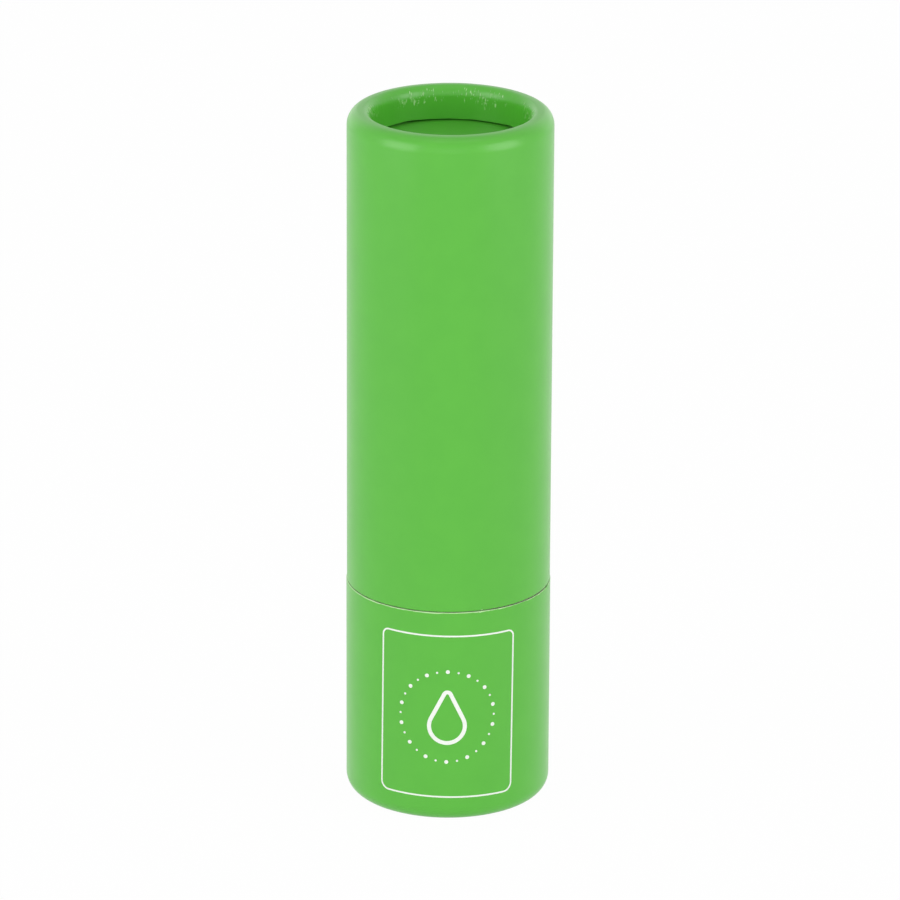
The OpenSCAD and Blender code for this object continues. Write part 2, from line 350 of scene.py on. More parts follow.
def column_angles(columns):
    """Evenly spaced angles from the back, round the front, and nearly to the back again."""
    return np.linspace(-np.pi, np.pi, columns, endpoint=False)


def grid_faces(rows, columns, looped):
    """Row and column of each corner of each four-sided face, turned so that the face looks outwards."""
    i, j = np.meshgrid(np.arange(rows if looped else rows - 1), np.arange(columns), indexing="ij")
    row = np.stack([i, i, i + 1, i + 1], -1).reshape(-1, 4)
    column = np.stack([j, j + 1, j + 1, j], -1).reshape(-1, 4)
    return row, column


def new_piece(name, points, faces):
    """A smooth-shaded mesh object whose sharp corners stay sharp."""
    mesh = bpy.data.meshes.new(name)
    mesh.from_pydata(points.tolist(), [], faces)
    mesh.shade_smooth()
    mesh.set_sharp_from_angle(angle=SHARP_FROM)
    piece = bpy.data.objects.new(name, mesh)
    scene.collection.objects.link(piece)
    return piece


def turned_piece(name, radius, height, poles=(), looped=True):
    """A closed mesh from radius and height, both rows by columns. The outline either loops, or ends in two
    points on the axis, whose heights are in poles."""
    rows, columns = radius.shape
    a = column_angles(columns)
    points = np.stack([radius * np.sin(a), -radius * np.cos(a), height], -1).reshape(-1, 3)
    row, column = grid_faces(rows, columns, looped)
    faces = ((row % rows) * columns + column % columns).tolist()
    if poles:
        j = np.arange(columns)
        first, last = len(points), (rows - 1) * columns
        points = np.vstack([points, [[0, 0, poles[0]], [0, 0, poles[1]]]])
        faces += np.stack([np.full(columns, first), (j + 1) % columns, j], -1).tolist()
        faces += np.stack([last + j, last + (j + 1) % columns, np.full(columns, first + 1)], -1).tolist()
    return new_piece(name, points, faces)


def paint(piece, name, values):
    """Writes one number for each grid vertex; vertices added at the poles get the last one."""
    numbers = np.zeros(len(piece.data.vertices), np.float32)
    flat = np.asarray(values, np.float32).ravel()
    numbers[: flat.size] = flat
    numbers[flat.size :] = flat[-1]
    piece.data.attributes.new(name, "FLOAT", "POINT").data.foreach_set("value", numbers)


def place(piece, node, slot, *materials, stands_for_it=True):
    """Seats a finished piece: it rides with the node's body, takes a finish and stands for the node."""
    for material in materials:
        piece.data.materials.append(material)
    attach(piece, frame["nodes"][node]["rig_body"])
    if stands_for_it:
        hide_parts(node)
    print(piece.name, "has", len(piece.data.polygons), "faces")


# %% [markdown]
# ## Outline of the rolled end
# The tube's end is made by rolling its wall in over a mandrel, so the paper runs up the outside, over a
# rounded shoulder, across a narrow flat that the press leaves, round a tight inner lip and down inside. Each
# stretch is a straight line or a quarter of an ellipse. One function draws all of it at any depth below the
# printed face, and so it serves the front and back of the print as well as the board behind.

# %% Pieces of an outline
def arc(centre, across, along, start, stop, steps):
    """Points centre + (across cos a, along sin a) on an ellipse, with a from start to stop in degrees."""
    a = np.radians(np.linspace(start, stop, steps + 1))
    return np.column_stack([centre[0] + across * np.cos(a), centre[1] + along * np.sin(a)])


def line(start, stop, shares):
    """Points on a straight stretch, at the given shares of the way from start to stop."""
    shares = np.asarray(shares)[:, None]
    return (1 - shares) * np.array(start) + shares * np.array(stop)


def even(steps):
    return np.linspace(0, 1, steps + 1)


def joined(*stretches):
    """One outline from stretches that meet end to end, with each meeting point kept once."""
    return np.vstack([stretches[0]] + [s[1:] for s in stretches[1:]])


def roll_outline(r, length, depth, steps, wall_shares):
    """Radius and distance from the crest, from the turned-in edge, over the roll, to the tube's cut edge. The
    steps are those of the turned-in wall, the lip and the shoulder."""
    inner = r - roll_t + depth
    return joined(
        line((inner, hem), (inner, LIP_H), even(steps[0])),
        arc((r - roll_t + LIP_W, LIP_H), LIP_W - depth, LIP_H - depth, 180, 270, steps[1]),
        arc((r - shoulder_w, SHOULDER_H), shoulder_w - depth, SHOULDER_H - depth, 270, 360, steps[2]),
        line((r - depth, SHOULDER_H), (r - depth, length), wall_shares),
    )


def fold_outline(r, length):
    """The fold's inner face: from the cut edge down the tube, round the tight fold, up the turned-in wall."""
    bore = r - wall_t
    return joined(
        line((bore + liner_t, length), (bore + liner_t, wall_t), even(4)),
        arc((bore, wall_t), liner_t, liner_t, 0, -180, 8),
        line((bore - liner_t, wall_t), (bore - liner_t, hem), even(2)),
    )


# %% [markdown]
# ## Small unevenness
# Real paper tubes are never quite true. Smooth unevenness round the axis is a sum of a few waves with seeded
# random phases, which closes on itself behind. Pleats are narrow ridges at seeded places: where the wall is
# rolled in, its edge has to fit a circle a fifth smaller, and the spare paper stands up in fine creases. They
# are short dashes that lean a little and come in clusters, six round the rim, with bare stretches between.

# %% Waves and pleats
CLUSTERS = 6
CLUSTER_AT = np.radians(155)
PLEAT_LEAN = 0.02


def waves(a, counts, seed):
    """A sum of cosines round the axis, one for each count, with random phases, scaled to reach about 1."""
    phase = np.random.default_rng(seed).uniform(0, 2 * np.pi, len(counts))
    total = sum(np.cos(n * a + p) / (k + 1) for k, (n, p) in enumerate(zip(counts, phase)))
    return total / sum(1 / (k + 1) for k in range(len(counts)))


def pleats(a, along, count, widths, middles, halves, seed):
    """Heights from 0 to 1 of ridges at angles a and a way in from the crest. Each ridge is a dash: one bell
    curve round the axis times another along its middle, with its own lean, and taller in a cluster."""
    random = np.random.default_rng(seed)
    at = (np.arange(count) + random.uniform(-0.48, 0.48, count)) * 2 * np.pi / count - np.pi
    width = random.uniform(*widths, count)
    lean = random.normal(0, PLEAT_LEAN, count) / MM
    clustered = 0.6 + 0.4 * np.cos(CLUSTERS * (np.abs(at) - CLUSTER_AT))
    tall = clustered * random.uniform(0.1, 1, count)
    middle = random.uniform(*middles, count)
    half = random.uniform(*halves, count)
    total = np.zeros(np.broadcast(a, along).shape)
    for k in range(count):
        gap = (a - at[k] - lean[k] * (along - middle[k]) + np.pi) % (2 * np.pi) - np.pi
        total += tall[k] * np.exp(-((gap / width[k]) ** 2) - ((along - middle[k]) / half[k]) ** 2)
    return np.clip(total, 0, 1)


# %% [markdown]
# ## Printed ply
# The green ply is a strip of coated paper, wrapped once round the board with a lap at the back, and rolled in
# with it. It is modelled as a real sheet with two faces and cut edges, because a seam seen close shows that
# it has a thickness. The lap is a low step, and the wall is true to a hundredth of a millimetre. The edges at
# the seam are softened, ragged and open a hair's breadth on one side, and the turned-in edge stops a little
# short of the disc, which leaves the dark line round it.

# %% The ply's sizes
PLY_COLUMNS = 1440
FILM_SINK = 0.02 * MM
WALL_WAVE = 0.008 * MM
PLEAT_RISE = 0.055 * MM
LAP_RISE = 0.018 * MM
LAP_FROM = np.radians(166)
EDGE_SOFT = 0.07 * MM
EDGE_PROUD = 0.085 * MM
EDGE_OPEN = 0.035 * MM
EDGE_RAGGED = 0.01 * MM
HEM_SHORT = 0.2 * MM
HEM_WAVE = 0.12 * MM
HEM_LEAST = 0.03 * MM


def hem_lift(a, seed):
    """How far the turned-in edge stops short of the disc, round the axis."""
    return np.clip(HEM_SHORT + HEM_WAVE * waves(a, (2, 3, 5, 9, 14, 23), seed), HEM_LEAST, None)


def outline_normals(outline):
    """The unit normal on the right of someone who walks along an outline: outwards for a printed face."""
    way = np.gradient(outline, axis=0)
    way /= np.linalg.norm(way, axis=1)[:, None]
    return np.column_stack([way[:, 1], -way[:, 0]])


# %% [markdown]
# The ply's printed face is the outline at every angle, pushed along the outline's own normal by the pleats
# inside the roll, the lap and the wall's waves. Displacing along the normal, and not along the radius, lets
# one formula serve the wall, the crest and the lip alike. Two numbers are painted for the film's material:
# how far a point is from a cut edge in millimetres, and how high its pleat is.

# %% The ply's surface
FAR_FROM_CUT = 9
RIDGES_FROM = 0.3 * MM
FAINT_SHARE = 0.3
FINE_PLEATS = (560, (0.003, 0.008), (0.2 * MM, 1.6 * MM), (0.1 * MM, 0.3 * MM))
FAINT_PLEATS = (90, (0.008, 0.02), (1.0 * MM, 2.4 * MM), (0.4 * MM, 0.9 * MM))


def ply_outline(r, length, levels):
    """The printed face from the turned-in edge to the cut edge, then the bare back, with outward normals."""
    front = roll_outline(r, length - EDGE_SOFT, 0, (10, 15, 10), levels)
    front = joined(front, arc((r - EDGE_SOFT, length - EDGE_SOFT), EDGE_SOFT, EDGE_SOFT, 0, 90, 5))
    back = roll_outline(r, length, wrap_t - FILM_SINK, (2, 4, 4), even(2))[::-1]
    return np.vstack([front, back]), np.vstack([outline_normals(front), -outline_normals(back)]), len(front)


def lap_step(a, sharpness):
    """1 where a wrapped ply lies on itself behind: a sharp step at its cut edge, a fade past the back."""
    step = np.clip((np.abs(a) - LAP_FROM) / sharpness, 0, 1) * (a > 0)
    return step + np.clip((-a - LAP_FROM) / 0.2, 0, 1)


def ply_surface(r, length, levels, seed):
    """Radius, distance from the crest and painted numbers of the ply, rows by columns, for one tube."""
    a = column_angles(PLY_COLUMNS)
    r, length = r - FILM_SINK, length + EDGE_PROUD
    outline, normal, front_rows = ply_outline(r, length, levels)
    inside = outline[:, :1] < r - roll_t + LIP_W
    beyond_lip = np.clip(outline[:, 1:] - LIP_H, 0, None) * inside
    along = outline[:, 1:] * inside
    ridge = pleats(a, along, *FINE_PLEATS, seed)
    faint = pleats(a, along, *FAINT_PLEATS, seed + 5)
    ridge = np.maximum(ridge, FAINT_SHARE * faint) * inside * np.clip(along / RIDGES_FROM, 0, 1)
    height = outline[:, 1:] / length
    low_waves = waves(a, (2, 3, 5, 8, 13), seed + 1)
    high_waves = waves(a, (2, 4, 7, 11), seed + 2)
    uneven = low_waves * (1 - height) + high_waves * height
    wall = np.clip((outline[:, :1] - r + shoulder_w) / shoulder_w, 0, 1)
    wall[front_rows:] = 0
    push = PLEAT_RISE * ridge + wall * (WALL_WAVE * (uneven - 1) + LAP_RISE * lap_step(a, 0.004))
    radius = outline[:, :1] + push * normal[:, :1]
    fall = outline[:, 1:] + push * normal[:, 1:]
    fall -= (beyond_lip / (hem - LIP_H)) ** 3 * hem_lift(a, seed + 3)
    at_cut = np.clip(1 - (length - outline[:, 1:]) / (3 * EDGE_SOFT), 0, 1)
    fall -= at_cut * EDGE_RAGGED * (1 + waves(a, (31, 47, 83, 131, 190), seed + 4))
    fall -= at_cut * EDGE_OPEN * np.clip(np.sin(a), 0, 1) ** 2
    to_lap = np.where(a > LAP_FROM - 0.003, np.abs(a - LAP_FROM) * r / MM + 0.03, FAR_FROM_CUT)
    cut = np.where(inside, FAR_FROM_CUT, np.minimum((length - outline[:, 1:]) / MM, to_lap))
    return radius, fall, {"cut": cut, "ridge": ridge}, front_rows


def standing(heights):
    """Distances from the crest as levels of the base, which stands on its crest."""
    return base_foot + heights


def hanging(heights):
    """Distances from the crest as levels of the cap, whose crest is on top."""
    return cap_top - heights


# %% [markdown]
# ## Satin printed film
# The print is a flat green under a satin film. Flat isn't dead: the ink is a little mottled, the film shows
# the paper's tooth as a very fine bump, and its gloss varies softly. At the cut edges and at the lap the
# print is worn back to pale paper in ragged flecks, and that pale green is also a painted highlight along the
# edges. On the tops of the pleats pale green specks are a painted glint, and the side of the cap has one
# small scratch, a dent whose darker green is painted shade. The paper's other side is raw, and the ink has
# stained its cut edge green, painted darker as painted shade in the seam's gap.

# %% Printed film
PRINT_GREEN = linear(91, 187, 58)
PRINT_SHADE = linear(89, 185, 57)
# The worn edge's pale green is also a painted highlight along the edges.
WORN_PAPER_AND_HIGHLIGHT = linear(190, 230, 168)
# A pale green painted as a glint on the tops of the pleats.
GLINT_PALE_GREEN = linear(190, 232, 168)
# A darker green: the ink's stain on the cut edge and painted shade in the seam's gap.
EDGE_STAIN_AND_SHADE = linear(88, 156, 62)
NICK_AT = (-78, 57.6)
NICK_HALF = (0.17, 0.05)
NICK_SLANT = np.radians(58)
# A darker green painted as shade in the small dent.
NICK_SHADE_GREEN = linear(72, 128, 58)


def nick(wire):
    """1 inside a small slanted scratch on the cap's side, a dent whose darker green is painted shade. Its two
    half sizes divide the way from its middle, along and across the slant, so the scratch is where the two
    shares' squares add up to less than 1."""
    around = np.radians(NICK_AT[0])
    middle = (cap_r * np.sin(around), -cap_r * np.cos(around), NICK_AT[1] * MM)
    spot = wire.node("ShaderNodeTexCoord", output="Object")
    offset = wire.node("ShaderNodeVectorMath", {"operation": "SUBTRACT"}, {0: spot, 1: middle})
    sideways = np.array([np.cos(around), np.sin(around), 0])
    along = np.cos(NICK_SLANT) * sideways + np.sin(NICK_SLANT) * np.array([0, 0, 1])
    across = np.cross(along, np.array([np.sin(around), -np.cos(around), 0]))
    total = 0
    for way, half in ((along, NICK_HALF[0]), (across, NICK_HALF[1])):
        parts = {0: offset, 1: tuple(way / (half * MM))}
        share = wire.node("ShaderNodeVectorMath", {"operation": "DOT_PRODUCT"}, parts, output="Value")
        total = share * share + total
    return 1 - total.between(0.5, 1.2)


def printed_film():
    material, wire, shader = new_material("printed_film", IOR=1.5)
    tooth = speckle(wire, 0.16, 3.0)
    colour = blended(wire, speckle(wire, 2.4, 3.0).between(0.3, 0.7), PRINT_GREEN, PRINT_SHADE)
    # Pale specks on the pleats' tops are a painted glint.
    painted_glint = painted(wire, "ridge").between(0.12, 0.45) * speckle(wire, 0.28).between(0.38, 0.55)
    colour = blended(wire, 0.9 * painted_glint, colour, GLINT_PALE_GREEN)
    # The pale edge below is worn paper and a painted highlight.
    flecks = 0.2 * speckle(wire, 0.5, 4.0).between(0.58, 0.85)
    worn_and_highlight_mm = 0.02 + flecks + 0.05 * speckle(wire, 1.5).between(0.35, 0.6)
    worn_and_highlight = 1 - (painted(wire, "cut") - worn_and_highlight_mm).between(-0.015, 0.02)
    colour = blended(wire, worn_and_highlight, colour, WORN_PAPER_AND_HIGHLIGHT)
    scratch = nick(wire)
    # The dent's darker green is painted shade.
    colour = blended(wire, scratch, colour, NICK_SHADE_GREEN)
    rough = 0.29 + 0.03 * speckle(wire, 5.0).between(0.3, 0.7) + 0.3 * worn_and_highlight
    feed(shader, Base_Color=colour, Roughness=rough, Normal=bumped(wire, tooth - 4.0 * scratch, 0.002))
    return material


def raw_paper():
    """The unprinted side of the ply, in short white fibres, and its cut edge, which the ink has stained green
    and which is painted darker as painted shade in the seam's gap.
    """
    material, wire, shader = new_material("raw_paper", IOR=1.45)
    fibre = speckle(wire, 0.12, 4.0)
    colour = blended(wire, fibre.between(0.35, 0.7), linear(226, 226, 214), linear(242, 242, 234))
    # The cut edge's dark green is the ink's stain and painted shade for the seam's gap.
    stain_and_shade = 1 - painted(wire, "cut").between(0.1, 0.3)
    colour = blended(wire, 0.85 * stain_and_shade, colour, EDGE_STAIN_AND_SHADE)
    feed(shader, Base_Color=colour, Roughness=0.75 + 0.15 * fibre, Normal=bumped(wire, fibre, 0.012))
    return material


film = printed_film()
paper = raw_paper()
print("materials:", film.name, paper.name)

# %% [markdown]
# Base and cap have the same ply at two lengths, the base's standing on its crest and the cap's hanging from
# it. A mirrored tube would be inside out, so the cap's rows are turned round instead. Where the two meet,
# hands rub the base's edge most near the front, and there its print is worn back. The pale part of the seam
# is that worn paper together with a painted highlight along the edge.

# %% Plies of the base and the cap
# Where these widen the pale edge, it is worn paper and a painted highlight.
RUBBED_AND_LIT = {"base": (-18, -0.045, 0.11), "cap": (62, 0.03, 0.1)}


def printed_ply(tube, r, length, to_level, seed):
    """One printed ply, with the film on its front and bare paper on its back and edges. The table above has
    the angle at which its cut edge is rubbed most, and how many millimetres are added to a point's distance
    from
    that edge there and across: the fewer, the more print is worn off, and the wider the pale edge, which is
    also a painted highlight."""
    radius, fall, numbers, front_rows = ply_surface(r, length, 1 - (1 - even(12)) ** 2, seed)
    rubbed_and_lit_at, kept, kept_across = RUBBED_AND_LIT[tube]
    across = (1 - np.cos(column_angles(PLY_COLUMNS) - np.radians(rubbed_and_lit_at))) / 2
    numbers["cut"] += kept + (kept_across - kept) * across
    bare = np.arange(len(radius)) >= front_rows - 1
    if to_level is hanging:
        radius, fall = radius[::-1], fall[::-1]
        numbers = {k: v[::-1] for k, v in numbers.items()}
        bare = np.roll(bare[::-1], -1)
    piece = turned_piece(f"{tube}_printed_ply", radius, to_level(fall))
    for key, values in numbers.items():
        paint(piece, key, values)
    piece.data.polygons.foreach_set("material_index", np.repeat(bare, PLY_COLUMNS).astype(np.int32))
    place(piece, f"{tube}_wrap", "printed_paper", film, paper)


TUBES = {
    "base": (base_r, base_top - base_foot, standing, 11),
    "cap": (cap_r, cap_top - cap_foot, hanging, 23),
}
for tube, measures in TUBES.items():
    printed_ply(tube, *measures)

# %% [markdown]
# ## White ink
# A thin white line frames the front of the base, round a plain drop in a ring of dots. Such ink is a layer
# about a hundredth of a millimetre thick, so each line here is a real strip that follows the tube: a path of
# way round and height, stepped to both sides for the strip's two edges, and bent onto the cylinder with x = r
# sin(u / r) and y = -r cos(u / r). The strip's foot is sunk in the print, so no gap shows beside it.

# %% Ink strips and spots
INK_TOP = 0.008 * MM
INK_FOOT = 0.05 * MM


def on_tube(flat, depth):
    """Points on the base's front at (way round, height), a depth below its outer size."""
    r = base_r - depth
    around = flat[..., 0] / base_r
    return np.stack([r * np.sin(around), -r * np.cos(around), flat[..., 1] + 0 * r], -1)


def ink_piece(name, points, faces, material):
    place(new_piece(name, points, faces), "base_wrap", "white_ink", material, stands_for_it=False)


def ink_strip(name, path, stroke, material):
    """A strip along a closed, anticlockwise path: its outer and inner edges, each shown and sunk."""
    way = np.roll(path, -1, 0) - np.roll(path, 1, 0)
    way /= np.linalg.norm(way, axis=1)[:, None]
    side = stroke / 2 * np.column_stack([way[:, 1], -way[:, 0]])
    edges = np.stack([path + side, path - side, path - side, path + side])
    depth = np.array([INK_TOP, INK_TOP, INK_FOOT, INK_FOOT])[:, None]
    points = on_tube(edges, depth).reshape(-1, 3)
    row, column = grid_faces(4, len(path), True)
    ink_piece(name, points, ((row % 4) * len(path) + column % len(path)).tolist(), material)


def ink_spots(name, centres, radii, corners, material):
    """Round dots, each a flat prism with a shown face, a sunk face and sides."""
    a = np.arange(corners) * 2 * np.pi / corners
    ring = np.stack([np.cos(a), np.sin(a)], -1)
    edges = centres[:, None, :] + radii[:, None, None] * ring
    points = np.stack([on_tube(edges, INK_TOP), on_tube(edges, INK_FOOT)]).reshape(-1, 3)
    shown = np.arange(len(centres) * corners).reshape(-1, corners)
    onward = np.roll(shown, -1, 1)
    sunk = shown + shown.size
    sides = np.stack([shown, sunk, sunk + onward - shown, onward], -1).reshape(-1, 4)
    ink_piece(name, points, shown.tolist() + sunk[:, ::-1].tolist() + sides.tolist(), material)


# %% [markdown]
# White ink never covers quite fully on a dark ground, so a little green shows through in thin places.

# %% Ink material
def ink_material():
    material, wire, shader = new_material("white_ink", IOR=1.5)
    thin = speckle(wire, 0.12, 3.0).between(0.62, 0.75)
    colour = blended(wire, 0.35 * thin, linear(247, 250, 243), linear(190, 225, 176))
    rough = 0.38 + 0.08 * speckle(wire, 0.4)
    feed(shader, Base_Color=colour, Roughness=rough, Normal=bumped(wire, speckle(wire, 0.16, 3.0), 0.002))
    return material


white_ink = ink_material()

# %% [markdown]
# The frame's four sides are measured round the tube and up it, and its lower corners are a little rounder
# than its upper ones. The whole print is turned by less than a degree, since a sheet is never wrapped quite
# square. What it frames is a plain drop: a large circle and a small one with their common tangents.

# %% Frame, drop and dots
PANEL_LEFT = -6.87 * MM
PANEL_RIGHT = 6.75 * MM
PANEL_LOW = 2.65 * MM
PANEL_HIGH = 19.44 * MM
CORNER_LOW = 0.85 * MM
CORNER_HIGH = 0.65 * MM
FRAME_STROKE = 0.165 * MM
PRINT_MIDDLE = np.array([(PANEL_LEFT + PANEL_RIGHT) / 2, (PANEL_LOW + PANEL_HIGH) / 2])
PRINT_TURN = np.radians(-0.7)


def askew(flat):
    """Points of the print, turned a little about its middle."""
    c, s = np.cos(PRINT_TURN), np.sin(PRINT_TURN)
    return PRINT_MIDDLE + (flat - PRINT_MIDDLE) @ np.array([[c, s], [-s, c]])


def frame_path():
    """A rectangle with rounded corners, anticlockwise from the left end of its lower edge."""
    low, high = PANEL_LOW + CORNER_LOW, PANEL_HIGH - CORNER_HIGH
    left, right = PANEL_LEFT, PANEL_RIGHT
    return joined(
        line((left + CORNER_LOW, PANEL_LOW), (right - CORNER_LOW, PANEL_LOW), even(48)),
        arc((right - CORNER_LOW, low), CORNER_LOW, CORNER_LOW, 270, 360, 8),
        arc((right - CORNER_HIGH, high), CORNER_HIGH, CORNER_HIGH, 0, 90, 8),
        line((right - CORNER_HIGH, PANEL_HIGH), (left + CORNER_HIGH, PANEL_HIGH), even(48)),
        arc((left + CORNER_HIGH, high), CORNER_HIGH, CORNER_HIGH, 90, 180, 8),
        arc((left + CORNER_LOW, low), CORNER_LOW, CORNER_LOW, 180, 270, 8)[:-1],
    )


DROP_R = 1.75 * MM
TIP_R = 0.34 * MM
DROP_RISE = 3.2 * MM
DROP_STROKE = 0.4 * MM
DOT_COUNT = 28
DOT_RING = 4.7 * MM
DOT_R = 0.2 * MM


def drop_path():
    """A large circle below and a small one above, joined by their common tangents, anticlockwise."""
    tangent = np.degrees(np.arcsin((DROP_R - TIP_R) / DROP_RISE))
    low = PRINT_MIDDLE - (0, 0.3 * DROP_RISE)
    high = low + (0, DROP_RISE)
    body = arc(low, DROP_R, DROP_R, 180 - tangent, 360 + tangent, 40)
    tip = arc(high, TIP_R, TIP_R, tangent, 180 - tangent, 14)
    return joined(body, line(body[-1], tip[0], even(6)), tip, line(tip[-1], body[0], even(6)[:-1]))


turns = np.arange(DOT_COUNT) * 2 * np.pi / DOT_COUNT
dots = PRINT_MIDDLE + DOT_RING * np.stack([np.sin(turns), np.cos(turns)], -1)
ink_strip("ink_frame", askew(frame_path()), FRAME_STROKE, white_ink)
ink_strip("ink_drop", askew(drop_path()), DROP_STROKE, white_ink)
ink_spots("ink_dots", askew(dots), np.where(np.arange(DOT_COUNT) % 2, 0.55, 1) * DOT_R, 12, white_ink)

# %% [markdown]
# ## Wound board
# Under the print lies wound board, three layers of grey-white paper glued into a wall. It shows only at the
# cut edges when the cap is off, so that is where its detail goes: fibres, dark flecks and fine rings where
# the layers meet. A ring is where the distance from the axis, counted in layers, passes a whole number.

# %% Board material
BOARD_LAYER = 0.25


def radius_mm(wire):
    """The distance from the tube's axis in millimetres, from Object coordinates with the height left out."""
    place = wire.node("ShaderNodeTexCoord", output="Object")
    flat = wire.node("ShaderNodeVectorMath", {"operation": "MULTIPLY"}, {0: place, 1: (1000, 1000, 0)})
    return wire.node("ShaderNodeVectorMath", {"operation": "LENGTH"}, {0: flat}, output="Value")


def board_material(name, ringed):
    """Grey-white board: fibres, dark flecks of recycled pulp and, on a wound tube, a ring for each layer."""
    material, wire, shader = new_material(name, IOR=1.45)
    fibre = speckle(wire, 0.14, 4.0)
    fleck = speckle(wire, 0.5, 2.0).between(0.66, 0.72)
    colour = blended(wire, fibre.between(0.35, 0.7), linear(214, 211, 200), linear(236, 234, 226))
    colour = blended(wire, 0.35 * fleck, colour, linear(150, 140, 120))
    if ringed:
        turns = radius_mm(wire) / BOARD_LAYER + 0.12 * fibre
        ring = wire.math("PINGPONG", turns, 0.5).between(0.1, 0.0)
        colour = blended(wire, 0.5 * ring, colour, linear(168, 160, 142))
        fibre = fibre - 0.4 * ring
    feed(shader, Base_Color=colour, Roughness=0.8 + 0.1 * fleck, Normal=bumped(wire, fibre, 0.02))
    return material


wound_board = board_material("wound_board", True)
flat_board = board_material("flat_board", False)

# %% [markdown]
# The board's outline is the print's own outline moved in by the print's thickness, closed by the fold behind
# it. A saw leaves its cut edge a little fuzzy, so the points of that edge get a small random height.

# %% Board tubes
BOARD_COLUMNS = 480
CUT_FUZZ = 0.012 * MM


def closed_tube(name, node, slot, outline, hem_r, to_level, seed, material):
    """A tube from a looped outline. Its turned-in end, inside hem_r, keeps off the disc, and its cut edge is
    a little fuzzy."""
    a = column_angles(BOARD_COLUMNS)
    radius = outline[:, :1] + 0 * a
    fall = outline[:, 1:] + 0 * a
    depth = np.clip((outline[:, 1] - LIP_H) / (hem - LIP_H), 0, 1) * (outline[:, 0] < hem_r)
    fall -= depth[:, None] ** 3 * hem_lift(a, seed + 3) * (outline[:, 1:] <= hem)
    fuzz = np.random.default_rng(seed).uniform(0, CUT_FUZZ, radius.shape)
    fall -= fuzz * (outline[:, 1:] > outline[:, 1].max() - CUT_FUZZ)
    if to_level is hanging:
        radius, fall = radius[::-1], fall[::-1]
    place(turned_piece(name, radius, to_level(fall)), node, slot, material)


def board_loop(r, length):
    """The board's looped outline: up the print's back, across the cut edge, and back along the fold."""
    face = roll_outline(r, length, wrap_t, (4, 8, 8), even(4))
    fold = fold_outline(r, length)
    return joined(face, line(face[-1], fold[0], even(6)), fold, line(fold[-1], face[0], even(3)[:-1]))


for tube, (r, length, to_level, seed) in TUBES.items():
    name, node = f"{tube}_wound_board", f"{tube}_board"
    closed_tube(name, node, "board", board_loop(r, length), r - wall_t, to_level, seed, wound_board)

# %% [markdown]
# ## Liner
# The innermost ply is greaseproof paper. Unlike the print it is wound in a spiral, so a faint seam climbs
# round the bore. Its line is worked out in the shader from the angle and the height: where the height over
# the winding's lead, less the angle's share of a turn, passes a whole number.

# %% Liner material and tubes
LINER_LEAD = 34.0


def liner_material():
    material, wire, shader = new_material("greaseproof_liner", IOR=1.48, Roughness=0.5)
    spot = wire.node("ShaderNodeTexCoord", output="Object")
    parts = wire.node("ShaderNodeSeparateXYZ", None, {0: spot}).socket.node.outputs
    x, y, z = (Wire(wire.tree, parts[n]) for n in ("X", "Y", "Z"))
    turn = wire.math("ARCTAN2", y, x) * (0.5 / np.pi)
    climb = wire.math("PINGPONG", z * (1000 / LINER_LEAD) - turn + 4.0, 0.5)
    seam = climb.between(0.006, 0.002)
    fibre = speckle(wire, 0.5, 4.0)
    colour = blended(wire, fibre.between(0.3, 0.75), linear(206, 206, 198), linear(222, 222, 215))
    colour = blended(wire, 0.45 * seam, colour, linear(160, 158, 146))
    feed(shader, Base_Color=colour, Normal=bumped(wire, fibre * 0.4 + climb.between(0.0, 0.012), 0.012))
    return material


def liner_loop(r, length):
    """The liner's looped outline: from the turned-in edge round the fold, to the cut edge, down the bore."""
    fold = fold_outline(r, length)[::-1]
    bore = r - wall_t
    return joined(fold, line(fold[-1], (bore, length), even(2)), line((bore, length), (bore, hem), even(12)))


liner = liner_material()
for tube, (r, length, to_level, seed) in TUBES.items():
    name, node, hem_r = f"{tube}_greaseproof", f"{tube}_liner", r - wall_t + liner_t / 2
    closed_tube(name, node, "liner", liner_loop(r, length), hem_r, to_level, seed, liner)

# %% [markdown]
# ## End discs and their printed facings
# Each end is closed by a punched disc of board, faced with the same green print. A disc is an outline that
# starts and ends on the axis, so its two middles are closed by fans. The punch leaves the facing's edge bent
# down a little, and glue lets its face lie in slow waves of about a hundredth of a millimetre.

# %% Discs
DISC_COLUMNS = 360
BOARD_EDGE = 0.1 * MM
PRINT_EDGE = 0.03 * MM
EDGE_DROOP = 0.06 * MM
FACE_WAVE = 0.012 * MM


def disc_outline(r, low, high, edge):
    """From the axis out along the underside, up the edge, over a softened corner, and in along the top."""
    return joined(
        line((0.02 * r, low), (r - edge, low), even(8)),
        arc((r - edge, low + edge), edge, edge, 270, 360, 3),
        arc((r - edge, high - edge), edge, edge, 0, 90, 3),
        line((r - edge, high), (0.02 * r, high), even(14)),
    )


def disc_piece(name, node, slot, edge, droop, seed, material, face_up):
    """A disc whose shown face droops at its edge and waves a little, inside the node's own box."""
    r, low, high = reach(node)
    a = column_angles(DISC_COLUMNS)
    outline = disc_outline(r, low, high, edge)
    share = outline[:, :1] / r
    wavy = FACE_WAVE * share * (1 + waves(a, (2, 3, 5), seed)) / 2
    swing = wavy + droop * np.clip((share - 0.9) / 0.1, 0, 1) ** 2
    upper = outline[:, 1:] > (low + high) / 2
    level = outline[:, 1:] - swing * upper if face_up else outline[:, 1:] + swing * ~upper
    piece = turned_piece(name, outline[:, :1] + 0 * a, level, poles=(low, high), looped=False)
    paint(piece, "cut", FAR_FROM_CUT + 0 * level)
    place(piece, node, slot, material)


